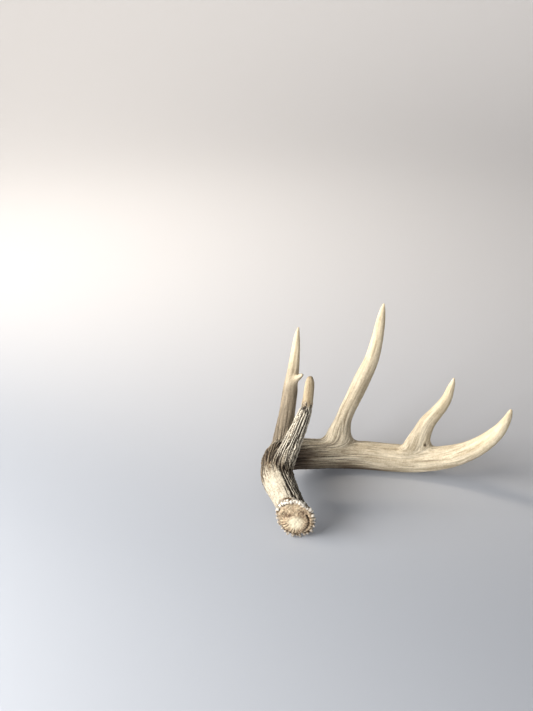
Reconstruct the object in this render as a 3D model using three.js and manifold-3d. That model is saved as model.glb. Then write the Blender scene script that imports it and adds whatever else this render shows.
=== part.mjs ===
// A shed left antler of a white-tailed deer, lying on a table with its tines up.
// It rests on the burr and on two places along the underside of its main beam.
// Millimetres, +Z up. +X runs along the beam towards its tip, and +Y away from the burr.
import * as THREE from "three";
import { mergeVertices } from "three/addons/utils/BufferGeometryUtils.js";
import Module from "manifold-3d";

const wasm = await Module();
wasm.setup();

// ---- Driving dimensions ----

const FOOTPRINT_MIDDLE = new THREE.Vector3(146.3, 130.7, -3); // becomes the origin
const FORK_GAP = 0.3; // clearance where a tine meets the piece that it grew from

// Each station of a branch is its centre, then the branch's two widths there:
// [x, y, z, width along the reference direction, width across it].

// The main beam leaves the burr, bends round above the brow tine and runs on along the table,
// then lifts and curls back at its tip. Its section is taller than it is thick.
const MAIN_BEAM = [
  [36.9, 10, 25, 41, 41],
  [36, 15, 25.6, 42, 42],
  [32.6, 22, 29.5, 37.5, 37],
  [27.4, 33, 36.3, 36, 35.6],
  [20.7, 47, 43, 37, 38.5],
  [14.7, 64, 47, 38, 41.5],
  [12, 83, 48, 40, 40],
  [12.5, 105, 46, 42, 38.5],
  [18, 128, 41, 43, 37],
  [33, 148, 33, 43, 32],
  [54, 162, 24.6, 42, 30],
  [87, 170, 19.4, 40, 29],
  [126, 168, 19.4, 39, 28],
  [166, 161, 19.3, 38, 28],
  [205, 151, 23.6, 36, 26],
  [236, 137, 35, 31, 24],
  [258, 120, 53, 27, 22],
  [273, 106, 72, 24, 20],
  [284, 93, 92, 21, 18],
  [291, 81, 111, 17, 15],
  [294.5, 69, 131, 11.5, 11.5],
  [295.7, 60, 147.5, 6.3, 6.3],
  [296, 57.3, 153, 3, 3],
];

// The brow tine is blunt, and rubbed smooth above a small step.
const BROW_TINE = [
  [17, 84, 42, 46, 24],
  [20, 87, 54, 40, 28],
  [26.5, 91, 70, 29, 26.5],
  [34.5, 96, 88, 24, 23],
  [42, 101, 105, 21, 20.5],
  [48, 106, 120, 18.5, 17.5],
  [50, 107.5, 125, 15.5, 15],
  [52, 110, 136, 14, 13.5],
  [53.5, 114, 149, 12, 13],
  [54.5, 117, 160, 9, 11],
  [54.5, 118, 166, 5, 6],
];

const SECOND_TINE = [
  [23, 150, 32, 46, 26],
  [23, 157, 45, 34, 23],
  [24, 166, 59, 26, 20],
  [27, 177, 77, 22, 18],
  [30, 187, 94, 21, 17],
  [33, 197, 112, 20, 16],
  [36, 207, 130, 16, 14],
  [39, 218, 153, 12, 12],
  [41, 227, 171, 7.5, 8],
  [43, 232, 181, 3, 3],
];

// The longest tine, with a gentle double bend.
const THIRD_TINE = [
  [95, 168, 24, 60, 20],
  [97, 173, 36, 50, 22],
  [99.5, 180, 50, 32, 20],
  [103.5, 187, 62, 23, 18],
  [109, 194, 74, 22, 18],
  [116, 201, 86, 22, 18],
  [129, 216, 108, 23, 18],
  [142, 230, 131, 20, 16],
  [149.5, 241, 156, 17, 14],
  [154, 248, 181, 13, 11.5],
  [156, 251, 195, 8.5, 8],
  [158, 253, 206, 3, 3],
];

const FOURTH_TINE = [
  [197, 156, 22, 54, 20],
  [201, 154, 40, 42, 20],
  [206, 158, 58, 27, 18],
  [213, 164, 71, 22, 17],
  [224, 171, 81, 18.5, 16],
  [234, 178, 90, 16.5, 14],
  [241, 184, 99, 14, 12],
  [245, 189, 109, 11, 10],
  [248, 192, 118, 7, 7],
  [249, 193, 124, 3, 3],
];

// A small sticker point that stands off the second tine.
const STICKER_POINT = [
  [33, 199, 110, 16, 10],
  [37, 196, 117, 12, 9],
  [43, 193, 125, 8.5, 7],
  [48, 190.3, 130.5, 4.6, 4.6],
];

// Directions that the first width of each branch's section follows: the plane of the tines for the
// beam, and the way that the beam runs at its fork for each tine.
const TINE_PLANE = new THREE.Vector3(0, 0.42, 0.91);
const BEAM_AT_BROW = new THREE.Vector3(-0.1, 1, 0.1);
const BEAM_AT_OUTER = new THREE.Vector3(1, 0, 0);

// The burr: a crown of beads round the seal, the rough scab where the antler dropped off. The seal
// is a low dome, [radius, height] from the middle outwards, and its middle is worn flat. Both are
// oval: longer than round along one slanting direction, and shorter across it.
const BURR = {
  centre: new THREE.Vector3(35.2, 12, 25.8),
  facing: new THREE.Vector3(-0.04, -0.998, 0.04),
  crownRadius: 21.1,
  beads: 30,
  beadRadius: 3.1,
  cutBehind: 0.8,
  slant: (125 / 180) * Math.PI,
  oval: [1.14, 0.95],
  seal: [[0, 5], [7, 5], [12, 4.2], [17, 2], [21.5, -1.5], [21.5, -9], [0, -9]],
};

// A small pit in the beam below the fourth tine.
const PIT = { at: new THREE.Vector3(216, 133.5, 36), radius: 2.2 };

// ---- Shapes ----

// The same number from 0 to 1 for the same pair of whole numbers.
function chance(a, b) {
  const wave = Math.sin(a * 127.1 + b * 311.7) * 43758.5453;
  return wave - Math.floor(wave);
}

// A branch is smooth curves through its stations, and how its surface is cut into sides and steps.
// The sides rise and dip in turn, as ridges and grooves along it: `ridges` is about their height at
// its base, and they fade out towards its tip.
function branch(stations, reference, { sides, steps, ridges = 0, seed = 0 }) {
  const line = new THREE.CatmullRomCurve3(stations.map(([x, y, z]) => new THREE.Vector3(x, y, z)));
  const widths = new THREE.CatmullRomCurve3(stations.map(([, , , a, b]) => new THREE.Vector3(a, b, 0)));
  return { line, widths, reference, sides, steps, ridges, seed };
}

// The point t of the way along a branch, on one of its sides: reach 0 is its centreline, and 1 its
// surface with any growth added.
function skin({ line, widths, reference, sides, ridges, seed }, t, side, reach = 1, grow = 0) {
  const angle = (side / sides) * 2 * Math.PI;
  const along = line.getTangent(t);
  const across = new THREE.Vector3().crossVectors(reference, along).normalize();
  const toward = new THREE.Vector3().crossVectors(along, across);
  const width = widths.getPoint(t);
  const ridge = ridges * (1 - t) ** 2 * (side % 2 ? 0.5 : -0.5) * (0.4 + 1.2 * chance(side, seed));
  const point = line.getPoint(t);
  point.addScaledVector(toward, Math.cos(angle) * reach * (width.x / 2 + grow + ridge));
  point.addScaledVector(across, Math.sin(angle) * reach * (width.y / 2 + grow + ridge));
  return point;
}

// A closed cylinder whose vertices are moved on to a branch's surface and its two ends.
function sweep(shape, grow = 0) {
  const geometry = new THREE.CylinderGeometry(1, 1, 1, shape.sides, shape.steps);
  const corners = geometry.getAttribute("position");
  for (let i = 0; i < corners.count; i++) {
    const [x, y, z] = [corners.getX(i), corners.getY(i), corners.getZ(i)];
    const turn = Math.atan2(z, x) / (2 * Math.PI) + 1;
    const side = Math.round(turn * shape.sides) % shape.sides;
    const point = skin(shape, y + 0.5, side, Math.round(Math.hypot(x, z)), grow);
    corners.setXYZ(i, point.x, point.y, point.z);
  }
  return solid(geometry);
}

// Pearls: small lumps, longer than wide, that sit on a branch's higher ridges.
function pearls(shape, { count, from, to, size }, grow = 0) {
  const lumps = [];
  for (let i = 0; lumps.length < count; i++) {
    const side = Math.floor(chance(i, 21) * shape.sides);
    if (side % 2 === 0) continue;
    const t = from + (to - from) * chance(i, 22);
    const radius = size * (0.7 + 0.6 * chance(i, 23));
    const lump = new THREE.IcosahedronGeometry(radius + grow).scale(1, 1, 1.9);
    lump.lookAt(shape.line.getTangent(t));
    const point = skin(shape, t, side, 1, -0.25 * radius);
    lumps.push(solid(lump.translate(point.x, point.y, point.z)));
  }
  return lumps;
}

// A closed three.js shape as a solid that manifold-3d can join and cut.
function solid(geometry) {
  geometry.deleteAttribute("normal");
  geometry.deleteAttribute("uv");
  const merged = mergeVertices(geometry, 1e-3);
  return new wasm.Manifold(
    new wasm.Mesh({
      numProp: 3,
      vertProperties: merged.getAttribute("position").array,
      triVerts: new Uint32Array(merged.getIndex().array),
    }),
  );
}

function geometryOf(body) {
  const mesh = body.getMesh();
  const geometry = new THREE.BufferGeometry();
  geometry.setAttribute("position", new THREE.BufferAttribute(mesh.vertProperties, 3));
  geometry.setIndex(new THREE.BufferAttribute(mesh.triVerts, 1));
  geometry.computeVertexNormals();
  return geometry;
}

// The burr's crown of uneven beads, with the seal inside it.
function burr() {
  const turned = new THREE.Quaternion().setFromUnitVectors(
    new THREE.Vector3(0, 0, 1),
    BURR.facing.clone().normalize(),
  );
  const placed = new THREE.Matrix4()
    .compose(BURR.centre, turned, new THREE.Vector3(1, 1, 1))
    .multiply(new THREE.Matrix4().makeRotationZ(BURR.slant))
    .scale(new THREE.Vector3(...BURR.oval, 1))
    .multiply(new THREE.Matrix4().makeRotationZ(-BURR.slant));
  const profile = BURR.seal.map(([radius, height]) => new THREE.Vector2(radius, height)).reverse();
  const pieces = [new THREE.LatheGeometry(profile, 24).rotateX(Math.PI / 2)];
  for (let i = 0; i < BURR.beads; i++) {
    const angle = ((i + 0.4 * chance(i, 1)) / BURR.beads) * 2 * Math.PI;
    const size = BURR.beadRadius * (0.8 + 0.4 * chance(i, 2));
    const bead = new THREE.SphereGeometry(size, 6, 3).scale(1.5, 1, 1.3);
    bead.translate(BURR.crownRadius + 1.5 * chance(i, 3), 0, -2 - 2 * chance(i, 4));
    pieces.push(bead.rotateZ(angle));
  }
  return pieces.map((piece) => solid(piece.applyMatrix4(placed)));
}

function joined(bodies) {
  return bodies.reduce((whole, body) => whole.add(body));
}

// The one body that counts, without the loose scraps, closed bubbles or slivers that joining leaves.
function largest(body) {
  return body.simplify(0.03).decompose().sort((a, b) => b.volume() - a.volume())[0];
}

// ---- Pieces ----

// Rubbed bone, and bone with its rough bark-like skin.
const BONE = { color: 0xcfc0a2, roughness: 0.62, metalness: 0 };
const BARK = { color: 0xb9a98c, roughness: 0.75, metalness: 0 };

const beamShape = branch(MAIN_BEAM, TINE_PLANE, { sides: 22, steps: 56, ridges: 2.2, seed: 11 });
const browShape = branch(BROW_TINE, BEAM_AT_BROW, { sides: 18, steps: 22, ridges: 1.6, seed: 5 });
const secondShape = branch(SECOND_TINE, BEAM_AT_OUTER, { sides: 16, steps: 20 });
const thirdShape = branch(THIRD_TINE, BEAM_AT_OUTER, { sides: 16, steps: 24 });
const fourthShape = branch(FOURTH_TINE, BEAM_AT_OUTER, { sides: 16, steps: 18 });
const stickerShape = branch(STICKER_POINT, BEAM_AT_OUTER, { sides: 10, steps: 6 });

const BEAM_PEARLS = { count: 36, from: 0.07, to: 0.38, size: 1.8 };
const BROW_PEARLS = { count: 14, from: 0.1, to: 0.5, size: 1.5 };

const pit = solid(new THREE.IcosahedronGeometry(PIT.radius, 1).translate(...PIT.at));
// The beam leaves the burr askew, so its first section is cut square just behind the seal.
const inwards = BURR.facing.clone().normalize().negate();
const stem = sweep(beamShape).trimByPlane(inwards.toArray(), inwards.dot(BURR.centre) + BURR.cutBehind);
const grown = joined([stem, ...burr(), ...pearls(beamShape, BEAM_PEARLS)]);
const beam = largest(grown.subtract(pit));
const clearance = joined([
  sweep(beamShape, FORK_GAP),
  ...pearls(beamShape, BEAM_PEARLS, FORK_GAP),
]);

// A tine starts inside the beam and keeps only the part that stands off it.
function tine(shape, additions = []) {
  return largest(joined([sweep(shape), ...additions]).subtract(clearance));
}

const browTine = tine(browShape, pearls(browShape, BROW_PEARLS));
const secondTine = tine(secondShape, [sweep(stickerShape)]);
const thirdTine = tine(thirdShape);
const fourthTine = tine(fourthShape);

const antler = new THREE.Group();
antler.position.copy(FOOTPRINT_MIDDLE).negate();
for (const [name, body, material] of [
  ["main_beam", beam, BARK],
  ["brow_tine", browTine, BARK],
  ["second_tine", secondTine, BONE],
  ["third_tine", thirdTine, BONE],
  ["fourth_tine", fourthTine, BONE],
]) {
  const mesh = new THREE.Mesh(geometryOf(body), new THREE.MeshStandardMaterial(material));
  mesh.name = name;
  antler.add(mesh);
}

export default antler;
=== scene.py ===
# %% [markdown]
# A shed antler of a white-tailed deer
#
# An antler is one piece of bone. It grows in a summer under furry skin, whose blood vessels press
# long grooves into it, and it drops off in winter with a rough scab, the seal, where it sat on the
# skull. This lesson grows that bone in Blender: round sections are extruded along each branch, a
# voxel remesh fuses the branches into one skin, and noise that is drawn out along the way the
# bone grew cuts the grooves. The frame holds the antler's solids, and everything here is in
# metres in the same frame.

# %% Load the frame
import math

import bmesh
import bpy
import numpy as np
from mathutils import Matrix, Vector


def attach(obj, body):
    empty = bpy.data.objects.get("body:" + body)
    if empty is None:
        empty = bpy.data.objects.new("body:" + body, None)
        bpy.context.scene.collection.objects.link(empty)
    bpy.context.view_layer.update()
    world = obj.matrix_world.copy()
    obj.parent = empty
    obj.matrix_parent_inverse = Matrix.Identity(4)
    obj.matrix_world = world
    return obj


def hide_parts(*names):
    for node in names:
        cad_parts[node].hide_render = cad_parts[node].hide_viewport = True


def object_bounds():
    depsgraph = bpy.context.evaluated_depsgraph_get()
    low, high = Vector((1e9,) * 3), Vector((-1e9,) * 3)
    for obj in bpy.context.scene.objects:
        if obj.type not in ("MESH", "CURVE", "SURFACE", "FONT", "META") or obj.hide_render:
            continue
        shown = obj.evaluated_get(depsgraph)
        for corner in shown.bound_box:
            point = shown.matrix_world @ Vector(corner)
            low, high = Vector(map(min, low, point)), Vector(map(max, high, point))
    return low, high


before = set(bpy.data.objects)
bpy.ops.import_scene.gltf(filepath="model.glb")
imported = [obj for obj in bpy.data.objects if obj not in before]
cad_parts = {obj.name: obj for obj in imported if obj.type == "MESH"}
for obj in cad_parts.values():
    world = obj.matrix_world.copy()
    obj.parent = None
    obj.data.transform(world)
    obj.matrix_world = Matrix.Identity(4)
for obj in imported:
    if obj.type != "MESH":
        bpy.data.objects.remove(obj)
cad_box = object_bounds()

MM = 0.001
print("solids:", sorted(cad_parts))

# %% [markdown]
# The shape of a branch
#
# A branch is a few stations, each a centre and two widths in millimetres, with smooth curves
# through them. The same stations shape the solids, so the skin that is grown here covers them.
# They are counted from the deer's side of the table, and MIDDLE is the point that becomes the
# origin, under the middle of the antler.

# %% Stations of the beam and its tines
MIDDLE = np.array([146.3, 130.7, -3.0])

MAIN_BEAM = [
    [36.9, 10, 25, 41, 41], [36, 15, 25.6, 42, 42], [32.6, 22, 29.5, 37.5, 37],
    [27.4, 33, 36.3, 36, 35.6], [20.7, 47, 43, 37, 38.5], [14.7, 64, 47, 38, 41.5],
    [12, 83, 48, 40, 40], [12.5, 105, 46, 42, 38.5], [18, 128, 41, 43, 37],
    [33, 148, 33, 43, 32], [54, 162, 24.6, 42, 30], [87, 170, 19.4, 40, 29],
    [126, 168, 19.4, 39, 28], [166, 161, 19.3, 38, 28], [205, 151, 23.6, 36, 26],
    [236, 137, 35, 31, 24], [258, 120, 53, 27, 22], [273, 106, 72, 24, 20],
    [284, 93, 92, 21, 18], [291, 81, 111, 17, 15], [294.5, 69, 131, 11.5, 11.5],
    [295.7, 60, 147.5, 6.3, 6.3], [296, 57.3, 153, 3, 3],
]
BROW_TINE = [
    [17, 84, 42, 46, 24], [20, 87, 54, 40, 28], [26.5, 91, 70, 29, 26.5],
    [34.5, 96, 88, 24, 23], [42, 101, 105, 21, 20.5], [48, 106, 120, 18.5, 17.5],
    [50, 107.5, 125, 15.5, 15], [52, 110, 136, 14, 13.5], [53.5, 114, 149, 12, 13],
    [54.5, 117, 160, 9, 11], [54.5, 118, 166, 5, 6],
]
SECOND_TINE = [
    [23, 150, 32, 46, 26], [23, 157, 45, 34, 23], [24, 166, 59, 26, 20], [27, 177, 77, 22, 18],
    [30, 187, 94, 21, 17], [33, 197, 112, 20, 16], [36, 207, 130, 16, 14],
    [39, 218, 153, 12, 12], [41, 227, 171, 7.5, 8], [43, 232, 181, 3, 3],
]
THIRD_TINE = [
    [95, 168, 24, 60, 20], [97, 173, 36, 50, 22], [99.5, 180, 50, 32, 20],
    [103.5, 187, 62, 23, 18], [109, 194, 74, 22, 18], [116, 201, 86, 22, 18],
    [129, 216, 108, 23, 18], [142, 230, 131, 20, 16], [149.5, 241, 156, 17, 14],
    [154, 248, 181, 13, 11.5], [156, 251, 195, 8.5, 8], [158, 253, 206, 3, 3],
]
FOURTH_TINE = [
    [197, 156, 22, 54, 20], [201, 154, 40, 42, 20], [206, 158, 58, 27, 18],
    [213, 164, 71, 22, 17], [224, 171, 81, 18.5, 16], [234, 178, 90, 16.5, 14],
    [241, 184, 99, 14, 12], [245, 189, 109, 11, 10], [248, 192, 118, 7, 7],
    [249, 193, 124, 3, 3],
]
# A sticker is a short point that stands on a tine, here on the second one.
STICKER_POINT = [
    [33, 199, 110, 16, 10], [37, 196, 117, 12, 9], [43, 193, 125, 8.5, 7],
    [48, 190.3, 130.5, 4.6, 4.6],
]

# The burr's middle, and the way that the seal faces.
BURR_CENTRE = Vector((np.array([35.2, 12, 25.8]) - MIDDLE) * MM)
BURR_FACING = Vector((-0.04, -0.998, 0.04)).normalized()
BURR_TURN = Vector((0, 0, 1)).rotation_difference(BURR_FACING).to_matrix()
# A small pit in the front of the fourth tine's foot.
PIT = (np.array([210, 145, 48]) - MIDDLE) * MM

# %% Smooth curves through the stations
def smooth(stations, t):
    """The five numbers a share t of the way through the stations, on a centripetal spline."""
    p = np.array(stations, float)
    p = np.vstack([2 * p[0] - p[1], p, 2 * p[-1] - p[-2]])
    gap = np.linalg.norm(np.diff(p[:, :3], axis=0), axis=1)[:, None] ** 0.5
    x = np.clip(np.atleast_1d(t), 0, 1) * (len(stations) - 1)
    i = np.minimum(x.astype(int), len(stations) - 2)
    w = (x - i)[:, None]
    a, b, c, d = p[i], p[i + 1], p[i + 2], p[i + 3]
    g0, g1, g2 = gap[i], gap[i + 1], gap[i + 2]
    leave = ((b - a) / g0 - (c - a) / (g0 + g1) + (c - b) / g1) * g1
    reach = ((c - b) / g1 - (d - b) / (g1 + g2) + (d - c) / g2) * g1
    return b + leave * w + (3 * (c - b) - 2 * leave - reach) * w**2 + (2 * (b - c) + leave + reach) * w**3


def unit(v):
    return v / np.maximum(np.linalg.norm(v, axis=-1, keepdims=True), 1e-9)


# The sections of a branch lie about this many mm apart.
SECTION_GAP = 2.2


class Branch:
    """A branch's stations, its even sections and the directions that their widths follow."""

    def __init__(self, name, stations, reference, first=0.0):
        self.name, self.stations, self.reference = name, stations, np.array(reference, float)
        t = np.linspace(0, 1, 400)
        dense = smooth(stations, t)
        run = np.concatenate([[0], np.cumsum(np.linalg.norm(np.diff(dense[:, :3], axis=0), axis=1))])
        self.length = run[-1]
        count = max(int(self.length / SECTION_GAP), 8)
        self.t = np.interp(np.linspace(0, self.length, count), run, t)
        self.run = np.linspace(0, self.length, count)
        at = smooth(stations, self.t)
        self.centre, self.half = (at[:, :3] - MIDDLE) * MM, at[:, 3:] / 2 * MM
        step = smooth(stations, self.t + 2e-3) - smooth(stations, self.t - 2e-3)
        self.along = unit(step[:, :3])
        self.across = unit(np.cross(self.reference, self.along))
        self.toward = np.cross(self.along, self.across)
        self.first = first


BEAM = Branch("beam", MAIN_BEAM, (0, 0.42, 0.91))
BROW = Branch("brow tine", BROW_TINE, (-0.1, 1, 0.1), first=18)
SECOND = Branch("second tine", SECOND_TINE, (1, 0, 0), first=16)
THIRD = Branch("third tine", THIRD_TINE, (1, 0, 0), first=18)
FOURTH = Branch("fourth tine", FOURTH_TINE, (1, 0, 0), first=22)
STICKER = Branch("sticker point", STICKER_POINT, (1, 0, 0), first=4)
BRANCHES = [BEAM, BROW, SECOND, THIRD, FOURTH, STICKER]
for branch in BRANCHES:
    print(f"{branch.name}: {branch.length:.0f} mm long, {len(branch.t)} sections")

# %% [markdown]
# Sections extruded along the branches
#
# A branch is round, so it starts as a circle. The circle's edge is extruded again and again, and
# each new ring is set on the next section. Curves with a bevel would give the same tubes, but
# their sections couldn't be taller than wide in a chosen direction, as a beam's are.

# %% Extrude a branch
def grow(shell, branch, sides=44):
    """A closed tube round a branch's centreline, its rings made by extruding a circle's edge."""
    place = shell.verts.layers.int.get("place") or shell.verts.layers.int.new("place")
    ring = bmesh.ops.create_circle(shell, segments=sides, radius=MM)["verts"]
    for number, v in enumerate(ring):
        v[place] = number
    edges = list({e for v in ring for e in v.link_edges})
    bmesh.ops.contextual_create(shell, geom=edges)
    for n in range(len(branch.t)):
        if n:
            made = bmesh.ops.extrude_edge_only(shell, edges=edges)["geom"]
            ring = [g for g in made if isinstance(g, bmesh.types.BMVert)]
            new = set(ring)
            edges = [g for g in made if isinstance(g, bmesh.types.BMEdge) and set(g.verts) <= new]
        for v in ring:
            angle = v[place] / sides * 2 * math.pi
            v.co = (
                branch.centre[n]
                + branch.toward[n] * math.cos(angle) * branch.half[n, 0]
                + branch.across[n] * math.sin(angle) * branch.half[n, 1]
            )
    bmesh.ops.contextual_create(shell, geom=edges)


shell = bmesh.new()
grow(shell, BEAM)
# The beam leaves the burr askew, so its end is cut square just behind the seal.
cut = bmesh.ops.bisect_plane(
    shell, geom=shell.verts[:] + shell.edges[:] + shell.faces[:],
    plane_co=BURR_CENTRE - BURR_FACING * 0.8 * MM, plane_no=BURR_FACING, clear_outer=True,
)["geom_cut"]
bmesh.ops.holes_fill(shell, edges=[g for g in cut if isinstance(g, bmesh.types.BMEdge)])
for branch in BRANCHES[1:]:
    grow(shell, branch)
bmesh.ops.recalc_face_normals(shell, faces=shell.faces)
print(f"six tubes: {len(shell.verts)} vertices, {len(shell.faces)} faces")

# %% [markdown]
# One skin
#
# The tubes run into each other. A voxel remesh keeps only the outside of them all and covers it
# with even quads, which is also what sculptors do before they carve. The skin is first made
# coarse, because its forks are eased there in few rounds: bone fills a fork with a soft web.

# %% Helpers to fuse and ease a mesh
def mesh_object(name, bm):
    data = bpy.data.meshes.new(name)
    bm.to_mesh(data)
    bm.free()
    made = bpy.data.objects.new(name, data)
    bpy.context.scene.collection.objects.link(made)
    return made


def finished(piece, **modifiers):
    """The piece with these modifiers worked into its mesh."""
    for kind, settings in modifiers.items():
        modifier = piece.modifiers.new(kind, kind)
        for key, value in settings.items():
            setattr(modifier, key, value)
    bpy.context.view_layer.update()
    done = bpy.data.meshes.new_from_object(piece.evaluated_get(bpy.context.evaluated_depsgraph_get()))
    piece.modifiers.clear()
    piece.data = done
    return piece


def points_of(mesh):
    co = np.empty(len(mesh.vertices) * 3, np.float32)
    mesh.vertices.foreach_get("co", co)
    return co.reshape(-1, 3).astype(float)


def normals_of(mesh):
    normal = np.empty(len(mesh.vertices) * 3, np.float32)
    mesh.vertex_normals.foreach_get("vector", normal)
    return normal.reshape(-1, 3).astype(float)


def edges_of(mesh):
    edges = np.empty(len(mesh.edges) * 2, np.int32)
    mesh.edges.foreach_get("vertices", edges)
    return edges.reshape(-1, 2)


def eased(co, edges, share, rounds):
    """Each vertex moves a share of the way to the mean of its neighbours, round after round."""
    a, b = np.concatenate([edges[:, 0], edges[:, 1]]), np.concatenate([edges[:, 1], edges[:, 0]])
    count = np.maximum(np.bincount(a, minlength=len(co)), 1)[:, None]
    share = np.broadcast_to(share, len(co))[:, None]
    for _ in range(rounds):
        mean = np.stack([np.bincount(a, co[b, k], len(co)) for k in range(co.shape[1])], 1) / count
        co = co + share * (mean - co)
    return co


def step_between(low, high, x):
    """0 below low, 1 above high and a smooth ramp between them, or the other way round."""
    x = np.clip((x - low) / (high - low), 0, 1)
    return x * x * (3 - 2 * x)


# %% Where a point is on a branch
# Points are looked up this many at a time, which keeps the table of distances small.
AT_ONCE = 20000


def nearest(branch, co):
    """For each point: its distance from the branch's centreline, and the section it is nearest."""
    used = branch.run >= branch.first
    centre = branch.centre[used]
    found = np.empty(len(co), int)
    for start in range(0, len(co), AT_ONCE):
        part = co[start : start + AT_ONCE]
        squared = (part**2).sum(1)[:, None] - 2 * part @ centre.T + (centre**2).sum(1)
        found[start : start + AT_ONCE] = squared.argmin(1)
    section = np.flatnonzero(used)[found]
    return np.linalg.norm(co - branch.centre[section], axis=1), section


def over_surface(branch, co):
    """How far each point stands over a plain tube round the branch, in mm, and its section."""
    section = nearest(branch, co)[1]
    out, half = co - branch.centre[section], branch.half[section]
    aside = np.stack([(out * branch.toward[section]).sum(1), (out * branch.across[section]).sum(1)], 1)
    past_end = np.abs((out * branch.along[section]).sum(1)) / MM - 1.5
    away, share = np.linalg.norm(aside, axis=1) / MM, np.linalg.norm(aside / half, axis=1)
    return away - away / np.maximum(share, 0.05) + np.maximum(past_end, 0), section


# %% Fuse the tubes and ease the forks
bone = finished(mesh_object("antler", shell), REMESH=dict(mode="VOXEL", voxel_size=1.25 * MM))
co, edges = points_of(bone.data), edges_of(bone.data)
above_beam = over_surface(BEAM, co)[0]
fork = np.zeros(len(co))
for tine in (BROW, SECOND, THIRD, FOURTH):
    above_tine, section = over_surface(tine, co)
    near_root = step_between(46, 26, tine.run[section] - tine.first)
    fork = np.maximum(fork, np.exp(-((above_beam - 2) / 8) ** 2 - (above_tine / 10.5) ** 2) * near_root)
above_second, above_sticker = over_surface(SECOND, co)[0], over_surface(STICKER, co)[0]
fork = np.maximum(fork, 0.7 * np.exp(-((above_second / 3) ** 2) - (above_sticker / 4) ** 2))
co = eased(co, edges, 0.02 + 0.58 * np.clip(fork * 1.4, 0, 1), 80)
bone.data.vertices.foreach_set("co", co.astype(np.float32).ravel())
bone.data.update()
print(f"one skin: {len(co)} vertices, eased at {int((fork > 0.3).sum())} of them")

# %% [markdown]
# The burr
#
# Round the foot of an antler stands a crown of bony beads, the burr, and inside it lies the seal,
# a low grainy dome. The beads are small balls, pressed longer outwards, and no two are alike.
# They are put on the skin before its last remesh, so that each grows out of the bone and deep
# clefts stay between them. A seeded list of random numbers gives the same crown on each run.

# %% Beads and seal
TO_BURR = Matrix.Translation(BURR_CENTRE) @ BURR_TURN.to_4x4()
SLANT = math.radians(125)
OVAL = Matrix.Rotation(SLANT, 4, "Z") @ Matrix.Diagonal((1.14, 0.95, 1, 1)) @ Matrix.Rotation(-SLANT, 4, "Z")
rng = np.random.default_rng(7)


def bead(bm, angle, radius, height, length, width, depth):
    """A ball of these half sizes, a radius from the burr's middle and a height in front of it."""
    out = OVAL @ (Vector((math.cos(angle) * radius, math.sin(angle) * radius, height)) * MM)
    shape = Matrix.Diagonal((length * MM, width * MM, depth * MM, 1))
    place = TO_BURR @ Matrix.Translation(out) @ Matrix.Rotation(angle + rng.uniform(-0.12, 0.12), 4, "Z")
    tilt = Matrix.Rotation(rng.uniform(-0.3, 0.3), 4, "Y")
    bmesh.ops.create_icosphere(bm, subdivisions=3, radius=1, matrix=place @ tilt @ shape)


def lathe(bm, profile, sides=72):
    """A closed oval shape, its [radius, height] profile spun round the burr's axis."""
    line = [bm.verts.new((r * MM, 0, h * MM)) for r, h in profile]
    edges = [bm.edges.new(pair) for pair in zip(line, line[1:])]
    bmesh.ops.spin(
        bm, geom=line + edges, cent=(0, 0, 0), axis=(0, 0, 1), dvec=(0, 0, 0),
        angle=2 * math.pi, steps=sides, use_merge=True,
    )
    bmesh.ops.remove_doubles(bm, verts=bm.verts, dist=1e-6)
    bmesh.ops.recalc_face_normals(bm, faces=bm.faces)
    bmesh.ops.transform(bm, matrix=TO_BURR @ OVAL, verts=bm.verts)


crown = bmesh.new()
lathe(crown, [
    (0, 1.7), (13, 1.7), (18, 1.5), (19.8, 1.0), (20.8, -0.6), (20.9, -3), (19.6, -6.5), (14, -11), (0, -11),
])
TEETH, BEADS_BEHIND = 31, 27
for i in range(TEETH):
    angle = (i + rng.uniform(-0.2, 0.2)) / TEETH * 2 * math.pi
    degrees = math.degrees(angle) % 360
    if 35 < degrees < 140:
        bead(crown, angle, 21.3 + rng.uniform(-0.5, 0.7), rng.uniform(-2.2, -0.6),
             rng.uniform(2.7, 3.9), rng.uniform(2.0, 2.8), rng.uniform(2.4, 3.2))
    elif 140 < degrees < 235:
        bead(crown, angle, 20.6 + rng.uniform(-0.4, 0.6), rng.uniform(-2.8, -1.4),
             rng.uniform(2.8, 4.4), rng.uniform(2.0, 2.6), rng.uniform(2.0, 2.8))
    elif 235 < degrees < 322:
        bead(crown, angle, 21.6 + rng.uniform(-0.4, 0.5), rng.uniform(-2.2, -0.8),
             rng.uniform(5.0, 6.6), rng.uniform(1.8, 2.5), rng.uniform(2.0, 2.9))
    else:
        bead(crown, angle, 20.2 + rng.uniform(-0.4, 0.6), rng.uniform(-2.6, -1.2),
             rng.uniform(3.9, 5.5), rng.uniform(1.6, 2.35), rng.uniform(2.0, 2.8))
# Bigger pearls that stand in front of the crown, above the seal: [degrees, radius, half size].
for degrees, out, size in (
    (124, 22.4, 1.9), (116, 22.0, 2.2), (107, 22.2, 2.5), (97, 21.6, 2.3), (87, 22.0, 2.1), (79, 22.4, 2.6),
    (69, 22.6, 2.9), (60, 21.4, 3.0), (51, 20.8, 2.4), (43, 21.0, 2.2), (34, 23.0, 2.4), (13, 22.4, 2.1),
    (-22, 23.4, 1.6), (-40, 22.8, 1.9), (-118, 22.6, 2.0), (-128, 22.8, 1.8), (152, 22.6, 1.7),
):
    bead(crown, math.radians(degrees), out, 0.2 + rng.uniform(-0.5, 0.5), size * 1.15, size, size)
# Small beads behind the crown, where it meets the beam.
for i in range(BEADS_BEHIND):
    angle = (i + rng.uniform(-0.3, 0.3)) / BEADS_BEHIND * 2 * math.pi
    bead(crown, angle, 20.6 + rng.uniform(-0.8, 0.5), -6.2 + rng.uniform(-1, 1),
         rng.uniform(1.8, 2.9), rng.uniform(1.3, 1.9), rng.uniform(1.4, 2.4))
print(f"crown: {TEETH} teeth, with pearls in front and {BEADS_BEHIND} beads behind")

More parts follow.
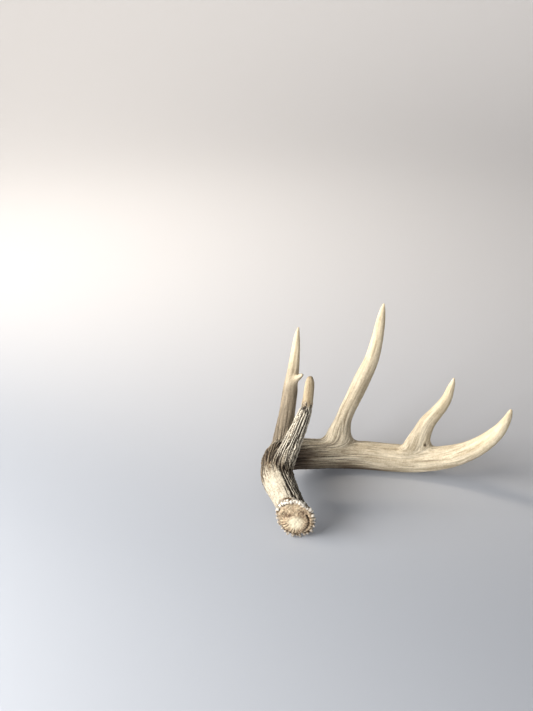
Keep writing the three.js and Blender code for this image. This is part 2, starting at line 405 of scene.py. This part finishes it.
# %% Fuse the crown on to the bone
crown.from_mesh(bone.data)
bpy.data.objects.remove(bone)
VOXEL = 0.72
antler = finished(mesh_object("antler", crown), REMESH=dict(mode="VOXEL", voxel_size=VOXEL * MM))
co, edges = points_of(antler.data), edges_of(antler.data)
co = eased(co, edges, 0.5, 2)
antler.data.vertices.foreach_set("co", co.astype(np.float32).ravel())
antler.data.update()
normal = normals_of(antler.data)
print(f"fine skin: {len(co)} vertices, {VOXEL} mm apart")

# %% [markdown]
# The way the bone grew
#
# Every groove on an antler runs outwards from the burr, bends at a fork and parts into both
# branches. So each point of the skin gets a direction: a blend of its branches' own directions,
# the nearer branch counting for more. The directions are kept in a coarse grid of cells, and a
# point can then be walked along the bone, upstream and downstream, through that grid.

# %% Directions on the skin
over, sections = {}, {}
total = np.zeros_like(co)
for branch in BRANCHES:
    over[branch.name], sections[branch.name] = over_surface(branch, co)
    weight = np.exp(-np.maximum(over[branch.name], 0) / 4.5)
    total += weight[:, None] * branch.along[sections[branch.name]]
flow = unit(total - (total * normal).sum(1, keepdims=True) * normal)

CELL, MARGIN = 3.0 * MM, 9 * MM
corner = co.min(0) - MARGIN
cells = ((co.max(0) + MARGIN - corner) / CELL).astype(int) + 2
index = ((co - corner) / CELL).astype(int)
flat = (index[:, 0] * cells[1] + index[:, 1]) * cells[2] + index[:, 2]
grid = np.stack([np.bincount(flat, flow[:, k], cells.prod()) for k in range(3)], 1)
grid = grid.reshape(*cells, 3)
for _ in range(2):
    for axis in range(3):
        grid = grid * 2 + np.roll(grid, 1, axis) + np.roll(grid, -1, axis)
grid = unit(grid)
print("direction grid:", tuple(int(n) for n in cells), "cells of 3 mm")


def looked_up(values, where):
    """Values of a grid between its cells, at positions counted in cells."""
    low = np.floor(where).astype(int)
    part = where - low
    size = np.array(values.shape[:3])
    out = 0
    for i in (0, 1):
        for j in (0, 1):
            for k in (0, 1):
                x, y, z = ((low + (i, j, k)) % size).T
                share = (
                    (part[:, 0] if i else 1 - part[:, 0])
                    * (part[:, 1] if j else 1 - part[:, 1])
                    * (part[:, 2] if k else 1 - part[:, 2])
                )
                out = out + (share[:, None] if values.ndim == 4 else share) * values[x, y, z]
    return out


# %% Walks along the bone
STEP, STEPS = 2.0 * MM, 18
walk = {0: co}
for sign in (1, -1):
    here = co
    for n in range(1, STEPS + 1):
        here = here + sign * STEP * unit(looked_up(grid, (here - corner) / CELL - 0.5))
        walk[sign * n] = here
print(f"walks of {STEPS * STEP / MM:.0f} mm each way from {len(co)} points")

# %% [markdown]
# Streaks, grooves and grains
#
# Noise alone looks like clouds. When each point takes the mean of the noise along its walk, the
# noise is drawn out into streaks that follow the bone round every bend, as hairs follow a coat.
# Streaks about 4 mm apart become grooves, finer ones become the grain that stains show, and
# short fat ones become the pearls that stand in rows on the ridges.

# %% Noise drawn out along the walks
lattice = np.random.default_rng(3).random((48, 48, 48))


def noise(where, size):
    """Smooth noise about 0, in lumps of this size in mm."""
    return looked_up(lattice, where / (size * MM) + 100.5) - 0.5


def streaks(size, reach):
    """Noise of this lump size, drawn out to this many mm each way, with a spread of 1."""
    steps = max(1, min(STEPS, round(reach * MM / STEP)))
    out = np.zeros(len(co))
    for n in range(-steps, steps + 1):
        out += (math.cos(math.pi * n / (steps + 1)) + 1) * noise(walk[n], size)
    return (out - out.mean()) / out.std()


broad, groovy, fine = streaks(3.6, 36), streaks(2.0, 36), streaks(0.95, 14)
long_grain, lumps = streaks(2.2, 36), streaks(1.25, 2)
print("streaks: broad, grooves, fine, grain and lumps")

# %% [markdown]
# Where each finish lies
#
# The skin isn't the same all over. Near the burr it is rough, dark in the grooves and set with
# pearls. Further out it is finer, and the tines are worn smooth by rubbing on trees. The brow
# tine is rough up to a step near its end. The outer bend by the burr was rubbed pale.

# %% Masks
def run_on(branch):
    """How far along a branch each point is, in mm."""
    return branch.run[sections[branch.name]]


def share_of(branch):
    """1 where a point belongs to this branch, 0 where it belongs to others."""
    own = np.exp(-np.maximum(over[branch.name], 0) / 3)
    rest = sum(np.exp(-np.maximum(over[b.name], 0) / 3) for b in BRANCHES)
    return own / rest


on = {b.name: share_of(b) for b in BRANCHES}
beam_run, brow_run = run_on(BEAM), run_on(BROW)
collar = 99 + 2.2 * lumps
bark_on_beam = 0.12 + 0.24 * step_between(300, 200, beam_run) + 0.64 * step_between(190, 130, beam_run)
bark_on_beam *= 0.35 + 0.65 * step_between(470, 380, beam_run)
bark_on_brow = step_between(collar + 1.5, collar - 1.5, brow_run)
bark = on["beam"] * bark_on_beam + on["brow tine"] * bark_on_brow
for tine, root in ((SECOND, 0.42), (THIRD, 0.22), (FOURTH, 0.08)):
    bark += on[tine.name] * (0.05 + root * step_between(75, 25, run_on(tine)))

local = (co - np.array(BURR_CENTRE)) @ np.array(BURR_TURN) / MM
round_off = local[:, :2] @ np.array(OVAL.inverted())[:2, :2].T
radius, around = np.hypot(*round_off.T), np.degrees(np.arctan2(round_off[:, 1], round_off[:, 0]))
at_burr = step_between(-9.5, -7.5, local[:, 2] + 0.5 * lumps) * (beam_run < 34)
seal = step_between(21.0, 18.4, radius + 4 * noise(co, 4.0))
seal *= step_between(-1.8, -0.2, local[:, 2]) * (beam_run < 30)

rub_end = 67 + 26 * normal @ unit(np.array([0.6, -0.75, 0.3]))
rub_side = normal @ unit(np.array([-0.8, -0.45, 0.4]))
rub = step_between(0.3, 0.56, rub_side + 0.12 * broad + 0.06 * lumps)
rub *= step_between(14, -14, beam_run - rub_end + 5 * broad)
rub *= on["beam"] * (1 - at_burr)
for finish, values in {"rough": bark, "rubbed": rub}.items():
    print(f"{finish}: {100 * (values > 0.5).mean():.0f}% of the points")

# %% [markdown]
# Relief
#
# The masks and streaks are added up into one height for each point, in millimetres, and the
# point is moved that far along its normal. Real relief is better than a bump map here: grooves
# over a millimetre deep break up the outline and throw shadows of their own.

# %% Pearls in rows
def pearls(count, seed):
    """Lumps of bone 3 to 5 mm long that sit on the ridges of the rough skin."""
    rng = np.random.default_rng(seed)
    chance = bark * (bark > 0.55) * (1 - 0.8 * rub) * (1 - at_burr) * (groovy > -0.2)
    chosen = rng.choice(len(co), count, replace=False, p=chance / chance.sum())
    height = np.zeros(len(co))
    for c in chosen:
        away = (co - co[c]) / MM
        close = np.flatnonzero((np.abs(away) < 5).all(1))
        away = away[close]
        along = away @ flow[c]
        aside = np.sqrt(np.maximum((away**2).sum(1) - along**2, 0))
        size = rng.uniform(0.8, 1.25)
        bump = 1 - (along / (1.9 * size)) ** 2 - (aside / (1.15 * size)) ** 2
        height[close] = np.maximum(height[close], np.sqrt(np.maximum(bump, 0)) * size)
    return height


PEARLS = 680
pearl = pearls(PEARLS, 5)
print(f"{PEARLS} pearls, up to {pearl.max():.2f} mm high")

# %% Heights
def slope_of(values):
    """How fast these values change over the skin, per mm."""
    a, b = edges.T
    change = np.abs(values[a] - values[b]) / np.linalg.norm(co[a] - co[b], axis=1) * MM
    both = np.concatenate([a, b])
    count = np.maximum(np.bincount(both, minlength=len(co)), 1)
    mean = np.bincount(both, np.tile(change, 2), len(co)) / count
    return np.clip(eased(mean[:, None], edges, 0.5, 4)[:, 0], 0.2, None)


# A groove runs where its noise is 0. Dividing by the slope gives all grooves one width, which is
# 1.4 mm on the tines and 2 mm on the beam.
narrow = np.exp(-((groovy / ((1.1 + 0.45 * on["beam"]) * slope_of(groovy))) ** 2))
deep = step_between(-0.6, -1.5, broad)
thin = np.exp(-((fine / 0.35) ** 2))
rough = bark * (1 - 0.88 * rub) * (1 - at_burr)
ridges = 0.22 * broad + 0.08 * groovy + 0.34 * np.maximum(lumps, -0.6)
height = rough * (ridges - 0.2 - 1.4 * narrow - 0.15 * deep - 0.25 * thin)
height += 0.75 * pearl * rough
height += (1 - at_burr) * (1 - rough) * (0.07 * broad + 0.06 * groovy - 0.07 * narrow)
bend = on["beam"] * step_between(50, 66, beam_run) * step_between(140, 105, beam_run)
pitted = bend * step_between(0.2, 0.6, rub_side)
pits = np.maximum(step_between(0.5, 1.2, lumps) * pitted, 0.4 * step_between(1.0, 1.7, lumps) * rub)
pit_floor = co[np.linalg.norm(co - PIT, axis=1).argmin()]
dent = np.exp(-(np.linalg.norm(co - pit_floor, axis=1) / (2.0 * MM)) ** 2)
height -= 0.6 * pits + 1.6 * dent
edge = step_between(5, 0, np.abs(brow_run - collar + 2.5)) * on["brow tine"]
height += 0.4 * edge * step_between(0, 1.4, lumps)
step_line = np.exp(-(((brow_run - collar - 0.8) / 1.1) ** 2)) * on["brow tine"]

# %% The seal's dome, its grain and its pitted patch
dome_x, dome_y = local[:, 0] + 0.1, local[:, 1] + 4.5
from_dome, turn = np.hypot(dome_x, dome_y), np.degrees(np.arctan2(dome_y, dome_x))
dome = 3.4 * np.maximum(1 - (from_dome / (16.6 + 5 * noise(co, 5.0))) ** 2, 0) ** 0.8
bank = 1.1 * np.exp(-(((local[:, 0] + 6) / 11) ** 2) - ((local[:, 1] - 13) / 6) ** 2)
crescent = np.exp(-(((from_dome - 16.6) / 1.25) ** 2)) * step_between(-62, -46, turn)
crescent *= step_between(44, 26, turn)
valley_right = np.exp(-(((local[:, 0] - 9.5) / 5.5) ** 2) - ((local[:, 1] - 7) / 5.5) ** 2)
patch = np.exp(-(((local[:, 0] + 10.9) / 7.5) ** 2) - ((local[:, 1] - 5.6) / 3.6) ** 2)
scratch = np.exp(-(((local[:, 0] + 11.5) / 5) ** 2) - ((local[:, 1] + 6.5) / 3) ** 2)
rays = np.cos(np.radians(around) * 30 + 7 * noise(co, 6.0)) * step_between(9, 16, radius)
rays *= 0.2 + 0.8 * step_between(10, -7, local[:, 1])
seal_grain = noise(co, 0.95) * 1.7 + noise(co + 0.5, 1.9) * 1.8
mottled = noise(co + 0.2, 2.2)
seal_height = dome + bank + 0.8 * seal_grain + 0.6 * rays - 2.4 * crescent - 1.3 * valley_right
seal_height -= 1.6 * patch * (0.9 + 1.8 * mottled) + 0.7 * scratch * (1 + 2 * mottled)
height += at_burr * (1 - seal) * (0.9 * noise(co + 0.3, 1.4) + 0.8 * noise(co + 0.7, 3.0))
facing = np.array(BURR_FACING)
co_new = co + normal * (height * (1 - seal) * MM)[:, None] + facing * (seal_height * seal * MM)[:, None]
# Crests that would stand out of the box round the solids are pressed back softly.
for limit, side in ((np.array(cad_box[0]), 1), (np.array(cad_box[1]), -1)):
    inside = (co_new - limit) * side / (0.35 * MM)
    co_new = limit + side * (0.08 + 0.35 * np.logaddexp(0, inside)) * MM
print(f"relief from {height.min():.2f} to {height.max():.2f} mm, dome {seal_height.max():.1f} mm")

# %% [markdown]
# Dirt, wear and painted shade
#
# Dirt stays where nothing rubs, in grooves, between beads and in forks, and crests are worn
# pale. Easing a copy of the skin shows where that is: a point that lies under the eased skin is
# in a hollow, and one that lies over it is on a crest. The hollows are darkened as painted shade
# as well as dirt, and painted shade also darkens the beam's underside, its foot's right flank
# and the beam just behind the foot.

# %% Hollows and crests
small = ((eased(co_new, edges, 0.6, 6) - co_new) * normal).sum(1) / MM
large = ((eased(co_new, edges, 0.6, 45) - co_new) * normal).sum(1) / MM
on_crown = at_burr * (1 - seal)
# Hollows are darkened for dirt and as painted shade, most of all in the crown's clefts.
hollow_dirt_and_painted_shade = (1.9 - 1.1 * seal + 1.0 * rough + 1.9 * on_crown) * np.maximum(small, 0)
hollow_dirt_and_painted_shade = np.clip(hollow_dirt_and_painted_shade + 0.5 * (1 - 0.6 * seal - 0.4 * on_crown) * np.maximum(large, 0), 0, 1)
crest = np.clip(3.0 * np.maximum(-small, 0) + 0.35 * np.maximum(-large, 0), 0, 1)
crest *= 1 - 0.85 * bend * (1 - rub)
# The beads over the seal are worn white, and the others keep a tan stain.
crest *= 1 - 0.5 * on_crown * (1 - step_between(0, 35, around) * step_between(170, 140, around))
antler.data.vertices.foreach_set("co", co_new.astype(np.float32).ravel())
antler.data.update()

tip = np.zeros(len(co))
for tine, start, end in ((BEAM, 390, 490), (SECOND, 85, 145), (THIRD, 90, 200), (FOURTH, 35, 100)):
    tip += on[tine.name] * step_between(start, end, run_on(tine))
tip += on["sticker point"] * 0.3

up = normal[:, 2] + 0.15 * broad
# Painted shade: faces of the beam that turn downwards are darkened, and so is the lower side of the beam near
# the foot, which is also brown with dirt.
underside_painted_shade_and_dirt = step_between(0.3, -0.5, up) * step_between(340, 240, beam_run)
underside_painted_shade_and_dirt = np.maximum(underside_painted_shade_and_dirt, step_between(0.75, 0.1, up) * step_between(225, 165, beam_run))
underside_painted_shade_and_dirt *= on["beam"] * step_between(118, 140, beam_run)
# A painted shadow of the foot on the beam just behind it, mixed with real brown dirt there.
dirt_and_painted_foot_shadow = on["beam"] * step_between(118, 138, beam_run) * step_between(215, 150, beam_run)
hollow_dirt_and_painted_shade = np.maximum(hollow_dirt_and_painted_shade, 0.55 * dirt_and_painted_foot_shadow * step_between(0.6, -0.2, up + 0.15 * lumps))
hollow_dirt_and_painted_shade = np.maximum(hollow_dirt_and_painted_shade, 0.72 * underside_painted_shade_and_dirt)
# Painted shade: the beam's foot is darkened on its right side, the side that wasn't rubbed and faces away
# from the window light.
painted_flank_shade = on["beam"] * step_between(76, 58, beam_run) * (1 - at_burr)
painted_flank_shade *= step_between(0.3, 0.85, normal[:, 0])
hollow_dirt_and_painted_shade = np.maximum(hollow_dirt_and_painted_shade, 0.5 * painted_flank_shade)
speckle = step_between(-0.15, 0.2, noise(co + 0.9, 1.3))
# The seal's stains, with painted shade in the crescent and the valley on the right of its dome.
seal_stain_and_painted_shade = patch * (0.5 + 0.7 * speckle) + 0.85 * crescent + 0.7 * valley_right * (0.4 + 0.8 * speckle)
seal_stain_and_painted_shade += 0.6 * scratch * step_between(-0.1, 0.2, mottled) + 0.4 * speckle * step_between(5, 14, from_dome)
seal_stain_and_painted_shade += 0.4 * step_between(0, -0.9, rays)
ATTRIBUTES = {
    "bark": bark * (1 - at_burr), "groove": np.clip(1.5 * narrow + 0.15 * deep + 0.4 * thin, 0, 1) * rough,
    "grain": step_between(-1.8, 1.8, long_grain + 0.5 * fine), "hollow_dirt_and_painted_shade": hollow_dirt_and_painted_shade, "crest": crest,
    "rub": rub, "tip": tip, "burr": at_burr * (1 - seal), "seal": seal,
    # Stains, and painted shade on the beam's underside, under the sticker point and on the seal's shaded
    # side.
    "stain_and_painted_shade": np.clip(seal * seal_stain_and_painted_shade, 0, 1) + 0.85 * pits + 0.7 * step_line + 0.85 * underside_painted_shade_and_dirt + dent
    + 0.5 * on["sticker point"] * step_between(0.2, -0.4, normal[:, 2]),
    # Painted highlight: the middle of the seal's dome.
    "dome": step_between(13, 4, from_dome), "tan": on["brow tine"] * (1 - bark_on_brow),
    "grey": 0.85 * on["second tine"] * step_between(140, 80, run_on(SECOND)) + 0.9 * bend * (1 - rub),
}
for name, values in ATTRIBUTES.items():
    layer = antler.data.attributes.new(name, "FLOAT", "POINT")
    layer.data.foreach_set("value", np.clip(values, 0, 1).astype(np.float32))
    print(f"{name}: mean {values.mean():.2f}")

# %% Straightened coordinates
def straightened(branch, offset):
    """Where each point would be if the branch were straight and ten times shorter."""
    section = sections[branch.name]
    out = co - branch.centre[section]
    along = (out * branch.along[section]).sum(1) + branch.run[section] * MM
    aside = (out * branch.toward[section]).sum(1), (out * branch.across[section]).sum(1)
    return np.stack([aside[0] + offset, aside[1], along * 0.1], 1)


beam_way, tine_way = straightened(BEAM, 0.0), np.zeros_like(co)
best = np.zeros(len(co))
for number, tine in enumerate((BROW, SECOND, THIRD, FOURTH, STICKER)):
    own = on[tine.name]
    tine_way = np.where((own > best)[:, None], straightened(tine, 0.1 * (number + 1)), tine_way)
    best = np.maximum(best, own)
for name, values in {"beam_way": beam_way, "tine_way": tine_way}.items():
    layer = antler.data.attributes.new(name, "FLOAT_VECTOR", "POINT")
    layer.data.foreach_set("vector", values.astype(np.float32).ravel())
layer = antler.data.attributes.new("on_tine", "FLOAT", "POINT")
layer.data.foreach_set("value", step_between(0.35, 0.65, 1 - on["beam"]).astype(np.float32))

# %% [markdown]
# Fewer faces
#
# A flat stretch of a tine doesn't need a vertex every 0.7 mm, and the beads do. A collapse
# decimation takes vertices away where the skin is flattest, and keeps the relief.

# %% Decimate
LIMIT = 188000
antler.data.calc_loop_triangles()
before = len(antler.data.loop_triangles)
if before > LIMIT:
    antler = finished(antler, DECIMATE=dict(ratio=LIMIT / before))
antler.data.calc_loop_triangles()
antler.data.polygons.foreach_set("use_smooth", [True] * len(antler.data.polygons))
print(f"{before} triangles became {len(antler.data.loop_triangles)}")

# %% [markdown]
# Antler bone
#
# Antler is bone with no enamel: matt and slightly waxy where it is rubbed, dull where it is
# rough. Its colour is stain from bark and soil over cream bone, so the material starts from tan
# and lays each finish over it by its mask: pale tips and rubbed bone, grey-brown rough skin,
# dark grooves, and the honey-coloured seal. Painted shade darkens the hollows, the beam's
# underside and the foot's right flank, and a painted highlight lies on the seal's dome.

# %% Colours and the node helper
def linear(hex_colour):
    """An sRGB hex colour as the linear RGBA that a shader takes."""
    parts = [int(hex_colour[i : i + 2], 16) / 255 for i in (1, 3, 5)]
    return [c / 12.92 if c <= 0.04045 else ((c + 0.055) / 1.055) ** 2.4 for c in parts] + [1]


def add(tree, kind, inputs=None, **settings):
    """Adds a node with its settings, and sets or links its inputs."""
    node = tree.nodes.new(kind)
    for key, value in settings.items():
        setattr(node, key, value)
    for key, value in (inputs or {}).items():
        if isinstance(value, bpy.types.NodeSocket):
            tree.links.new(value, node.inputs[key])
        else:
            node.inputs[key].default_value = value
    return node


def new_material(name):
    material = bpy.data.materials.new(name)
    material.use_nodes = True
    material.node_tree.nodes.clear()
    return material


# %% The bone's material
bone_material = new_material("weathered_antler_bone")
tree = bone_material.node_tree


def attribute(name, output="Fac"):
    return add(tree, "ShaderNodeAttribute", attribute_name=name).outputs[output]


def calc(operation, a, b, c=0.0, clamp=True):
    return add(tree, "ShaderNodeMath", {0: a, 1: b, 2: c}, operation=operation, use_clamp=clamp).outputs[0]


def mixed(factor, below, above):
    """One colour laid over another by a factor."""
    return add(tree, "ShaderNodeMix", {0: factor, 6: below, 7: above}, data_type="RGBA").outputs[2]


def noise_on(vector, scale, detail=3.0, roughness=0.6):
    settings = {"Vector": vector, "Scale": scale, "Detail": detail, "Roughness": roughness}
    return add(tree, "ShaderNodeTexNoise", settings).outputs["Fac"]


mask = {name: attribute(name) for name in ATTRIBUTES}
spot = add(tree, "ShaderNodeTexCoord").outputs["Object"]
# Pores of bone are about 0.3 mm across and are drawn at 0.7 mm, so that they show. Mottling from
# stain is 9 mm across and grit 2.4 mm. Fibres on worn bone lie 1.6 mm apart and their bands 5 mm,
# and both are ten times longer than wide.
pores, mottle, grit = noise_on(spot, 1500), noise_on(spot, 110, 4), noise_on(spot, 420, 4, 0.75)
fibre = add(tree, "ShaderNodeMix", {
    0: attribute("on_tine"),
    2: noise_on(attribute("beam_way", "Vector"), 620, 4, 0.7),
    3: noise_on(attribute("tine_way", "Vector"), 620, 4, 0.7),
}, data_type="FLOAT").outputs[0]
band = add(tree, "ShaderNodeMix", {
    0: attribute("on_tine"),
    2: noise_on(attribute("beam_way", "Vector"), 190, 2, 0.5),
    3: noise_on(attribute("tine_way", "Vector"), 190, 2, 0.5),
}, data_type="FLOAT").outputs[0]
grain = calc("MULTIPLY_ADD", mask["grain"], 0.7, calc("MULTIPLY_ADD", mottle, 0.9, -0.35))
streak = calc("MULTIPLY_ADD", calc("ADD", fibre, calc("MULTIPLY", band, 0.8), clamp=False), 3.2, -2.4)
grain = calc("MULTIPLY_ADD", streak, 0.5, calc("MULTIPLY", grain, 0.5))
grit = calc("MULTIPLY_ADD", grit, 3.0, -1.0)
grain = calc("MULTIPLY_ADD", grit, 0.3, calc("SUBTRACT", grain, 0.12))

colour = mixed(grain, linear("#a59476"), linear("#f5e8cd"))
colour = mixed(calc("MULTIPLY", mask["tan"], 0.8), colour, mixed(grain, linear("#836f52"), linear("#b9a582")))
pale = mixed(grain, linear("#cab58f"), linear("#f5e7c8"))
colour = mixed(calc("MULTIPLY", mask["tip"], 0.85), colour, pale)
rough_skin = mixed(mask["crest"], mixed(grain, linear("#64574a"), linear("#a3957c")), linear("#e8dfcb"))
colour = mixed(mask["bark"], colour, rough_skin)
colour = mixed(mask["grey"], colour, mixed(grain, linear("#5c5041"), linear("#988870")))
worn = calc("MULTIPLY_ADD", mottle, 0.8, calc("SUBTRACT", grit, 0.2))
rubbed = mixed(worn, linear("#978972"), linear("#dcd2bc"))
colour = mixed(mask["rub"], colour, rubbed)
beads_colour = mixed(mask["crest"], linear("#715838"), linear("#f4eee0"))
colour = mixed(mask["burr"], colour, beads_colour)
seal_colour = mixed(grit, linear("#b8987a"), linear("#f0deba"))
# Painted highlight: the seal's dome is paler in its middle.
seal_colour = mixed(calc("MULTIPLY", mask["dome"], 0.85), seal_colour, linear("#fbf0d2"))
colour = mixed(mask["seal"], colour, seal_colour)
# Stains, and painted shade under the beam, under the sticker point and on the seal's shaded side.
colour = mixed(calc("MULTIPLY", mask["stain_and_painted_shade"], 0.85), colour, linear("#5f432d"))
colour = mixed(calc("MULTIPLY", mask["groove"], 0.97), colour, linear("#211a13"))
# Dirt and painted shade in the hollows, under the beam and on the foot's right flank.
colour = mixed(calc("MULTIPLY", mask["hollow_dirt_and_painted_shade"], 0.85), colour, linear("#2b2119"))
speck = calc("MULTIPLY_ADD", pores, 0.7, 0.65)
colour = add(
    tree, "ShaderNodeMix", {0: 0.4, 6: colour, 7: speck}, data_type="RGBA", blend_type="MULTIPLY",
).outputs[2]
# Bone is dull where it is rough or dirty and waxy where it was rubbed.
dull = calc("MULTIPLY_ADD", mask["bark"], 0.25, calc("MULTIPLY_ADD", pores, 0.2, 0.45))
dull = calc("MULTIPLY_ADD", mask["hollow_dirt_and_painted_shade"], 0.2, dull)
relief = calc("ADD", calc("MULTIPLY", fibre, 1.3), calc("MULTIPLY", pores, 0.6), clamp=False)
bump = add(tree, "ShaderNodeBump", {"Strength": 0.6, "Distance": 0.35 * MM, "Height": relief})
surface = add(
    tree, "ShaderNodeBsdfPrincipled",
    {
        "Base Color": colour, "Roughness": dull, "Normal": bump.outputs[0],
        "IOR": 1.5, "Specular IOR Level": 0.35,
    },
)
add(tree, "ShaderNodeOutputMaterial", {"Surface": surface.outputs[0]})
antler.data.materials.clear()
antler.data.materials.append(bone_material)
print("bone material:", len(tree.nodes), "nodes")

# %% The antler takes the solids' place
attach(antler, "root")
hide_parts("main_beam", "brow_tine", "second_tine", "third_tine", "fourth_tine")

# %% [markdown]
# The table and the light
#
# The antler lies on pale card that curves up all round it like a bowl, so no edge shows from
# any side. A large soft light stands on its left, as light from one side shows relief best.
# A weaker one in front and a dim sky fill the shadows, and a third light shines on the card behind.

# %% Card
bowl = bmesh.new()
FLOOR_RADIUS, CURVED, PARTS, WALL_HEIGHT = 1.4, 2.2, 32, 3.4
profile = [(0.0, 0.0), (FLOOR_RADIUS, 0.0)]
for i in range(PARTS):
    lean = math.pi / 2 * step_between(0, 1, (i + 0.5) / PARTS)
    r, z = profile[-1]
    profile.append((r + CURVED / PARTS * math.cos(lean), z + CURVED / PARTS * math.sin(lean)))
profile.append((profile[-1][0], WALL_HEIGHT))
line = [bowl.verts.new((r, 0, z)) for r, z in profile]
edges = [bowl.edges.new(pair) for pair in zip(line, line[1:])]
bmesh.ops.spin(
    bowl, geom=line + edges, cent=(0, 0, 0), axis=(0, 0, 1), dvec=(0, 0, 0),
    angle=2 * math.pi, steps=96, use_merge=True,
)
bmesh.ops.remove_doubles(bowl, verts=bowl.verts, dist=1e-5)
bmesh.ops.recalc_face_normals(bowl, faces=bowl.faces)
card = mesh_object("card", bowl)
card.data.polygons.foreach_set("use_smooth", [True] * len(card.data.polygons))
# Card is matt, so the light falls off softly over it and nothing mirrors in it.
card_material = new_material("matt_card")
tree = card_material.node_tree
surface = add(
    tree, "ShaderNodeBsdfPrincipled",
    {"Base Color": linear("#b7bbc2"), "Roughness": 0.8, "IOR": 1.45, "Specular IOR Level": 0.2},
)
add(tree, "ShaderNodeOutputMaterial", {"Surface": surface.outputs[0]})
card.data.materials.append(card_material)


# %% Light
def area_light(name, place, aim, size, power, colour, spread=180):
    """A soft lamp that shines from its place to its aim, in a cone as wide as its spread in degrees."""
    light = bpy.data.lights.new(name, "AREA")
    light.shape, light.size, light.size_y = "RECTANGLE", size[0], size[1]
    light.energy, light.color = power, linear(colour)[:3]
    light.spread = math.radians(spread)
    made = bpy.data.objects.new(name, light)
    bpy.context.scene.collection.objects.link(made)
    made.location = place
    made.rotation_euler = (Vector(aim) - Vector(place)).to_track_quat("-Z", "Y").to_euler()
    made.visible_camera = False


area_light("window", (-1.2, -0.5, 0.64), (0, 0, 0.06), (1.5, 0.6), 34, "#fcfaf7")
area_light("room_light", (-0.25, -1.9, 0.9), (0, 0, 0.06), (1.2, 1.2), 13, "#fcfaf8")
area_light("back_wall_light", (-1.15, 0.42, 1.2), (0.35, 2.2, 0.85), (0.9, 0.9), 56, "#ffefdb", 150)
world = bpy.data.worlds.new("room")
world.use_nodes = True
world.node_tree.nodes["Background"].inputs[0].default_value = linear("#e8e9ea")
world.node_tree.nodes["Background"].inputs[1].default_value = 0.13
bpy.context.scene.world = world
bpy.context.scene.view_settings.view_transform = "Standard"

# %% Camera
# The lens in pixels for a picture 711 pixels high, and how far the camera looks down, in degrees.
LENS, PICTURE, DOWN = 1110, 711, 27
EYE = (np.array([0, -1108, 820]) - MIDDLE) * MM
eye = bpy.data.cameras.new("camera")
eye.sensor_width = 36
eye.lens = LENS / PICTURE * 36
camera = bpy.data.objects.new("camera", eye)
bpy.context.scene.collection.objects.link(camera)
camera.location = EYE
camera.rotation_euler = (math.radians(90 - DOWN), 0, 0)
bpy.context.scene.camera = camera
print("camera at", [round(float(v), 3) for v in EYE])
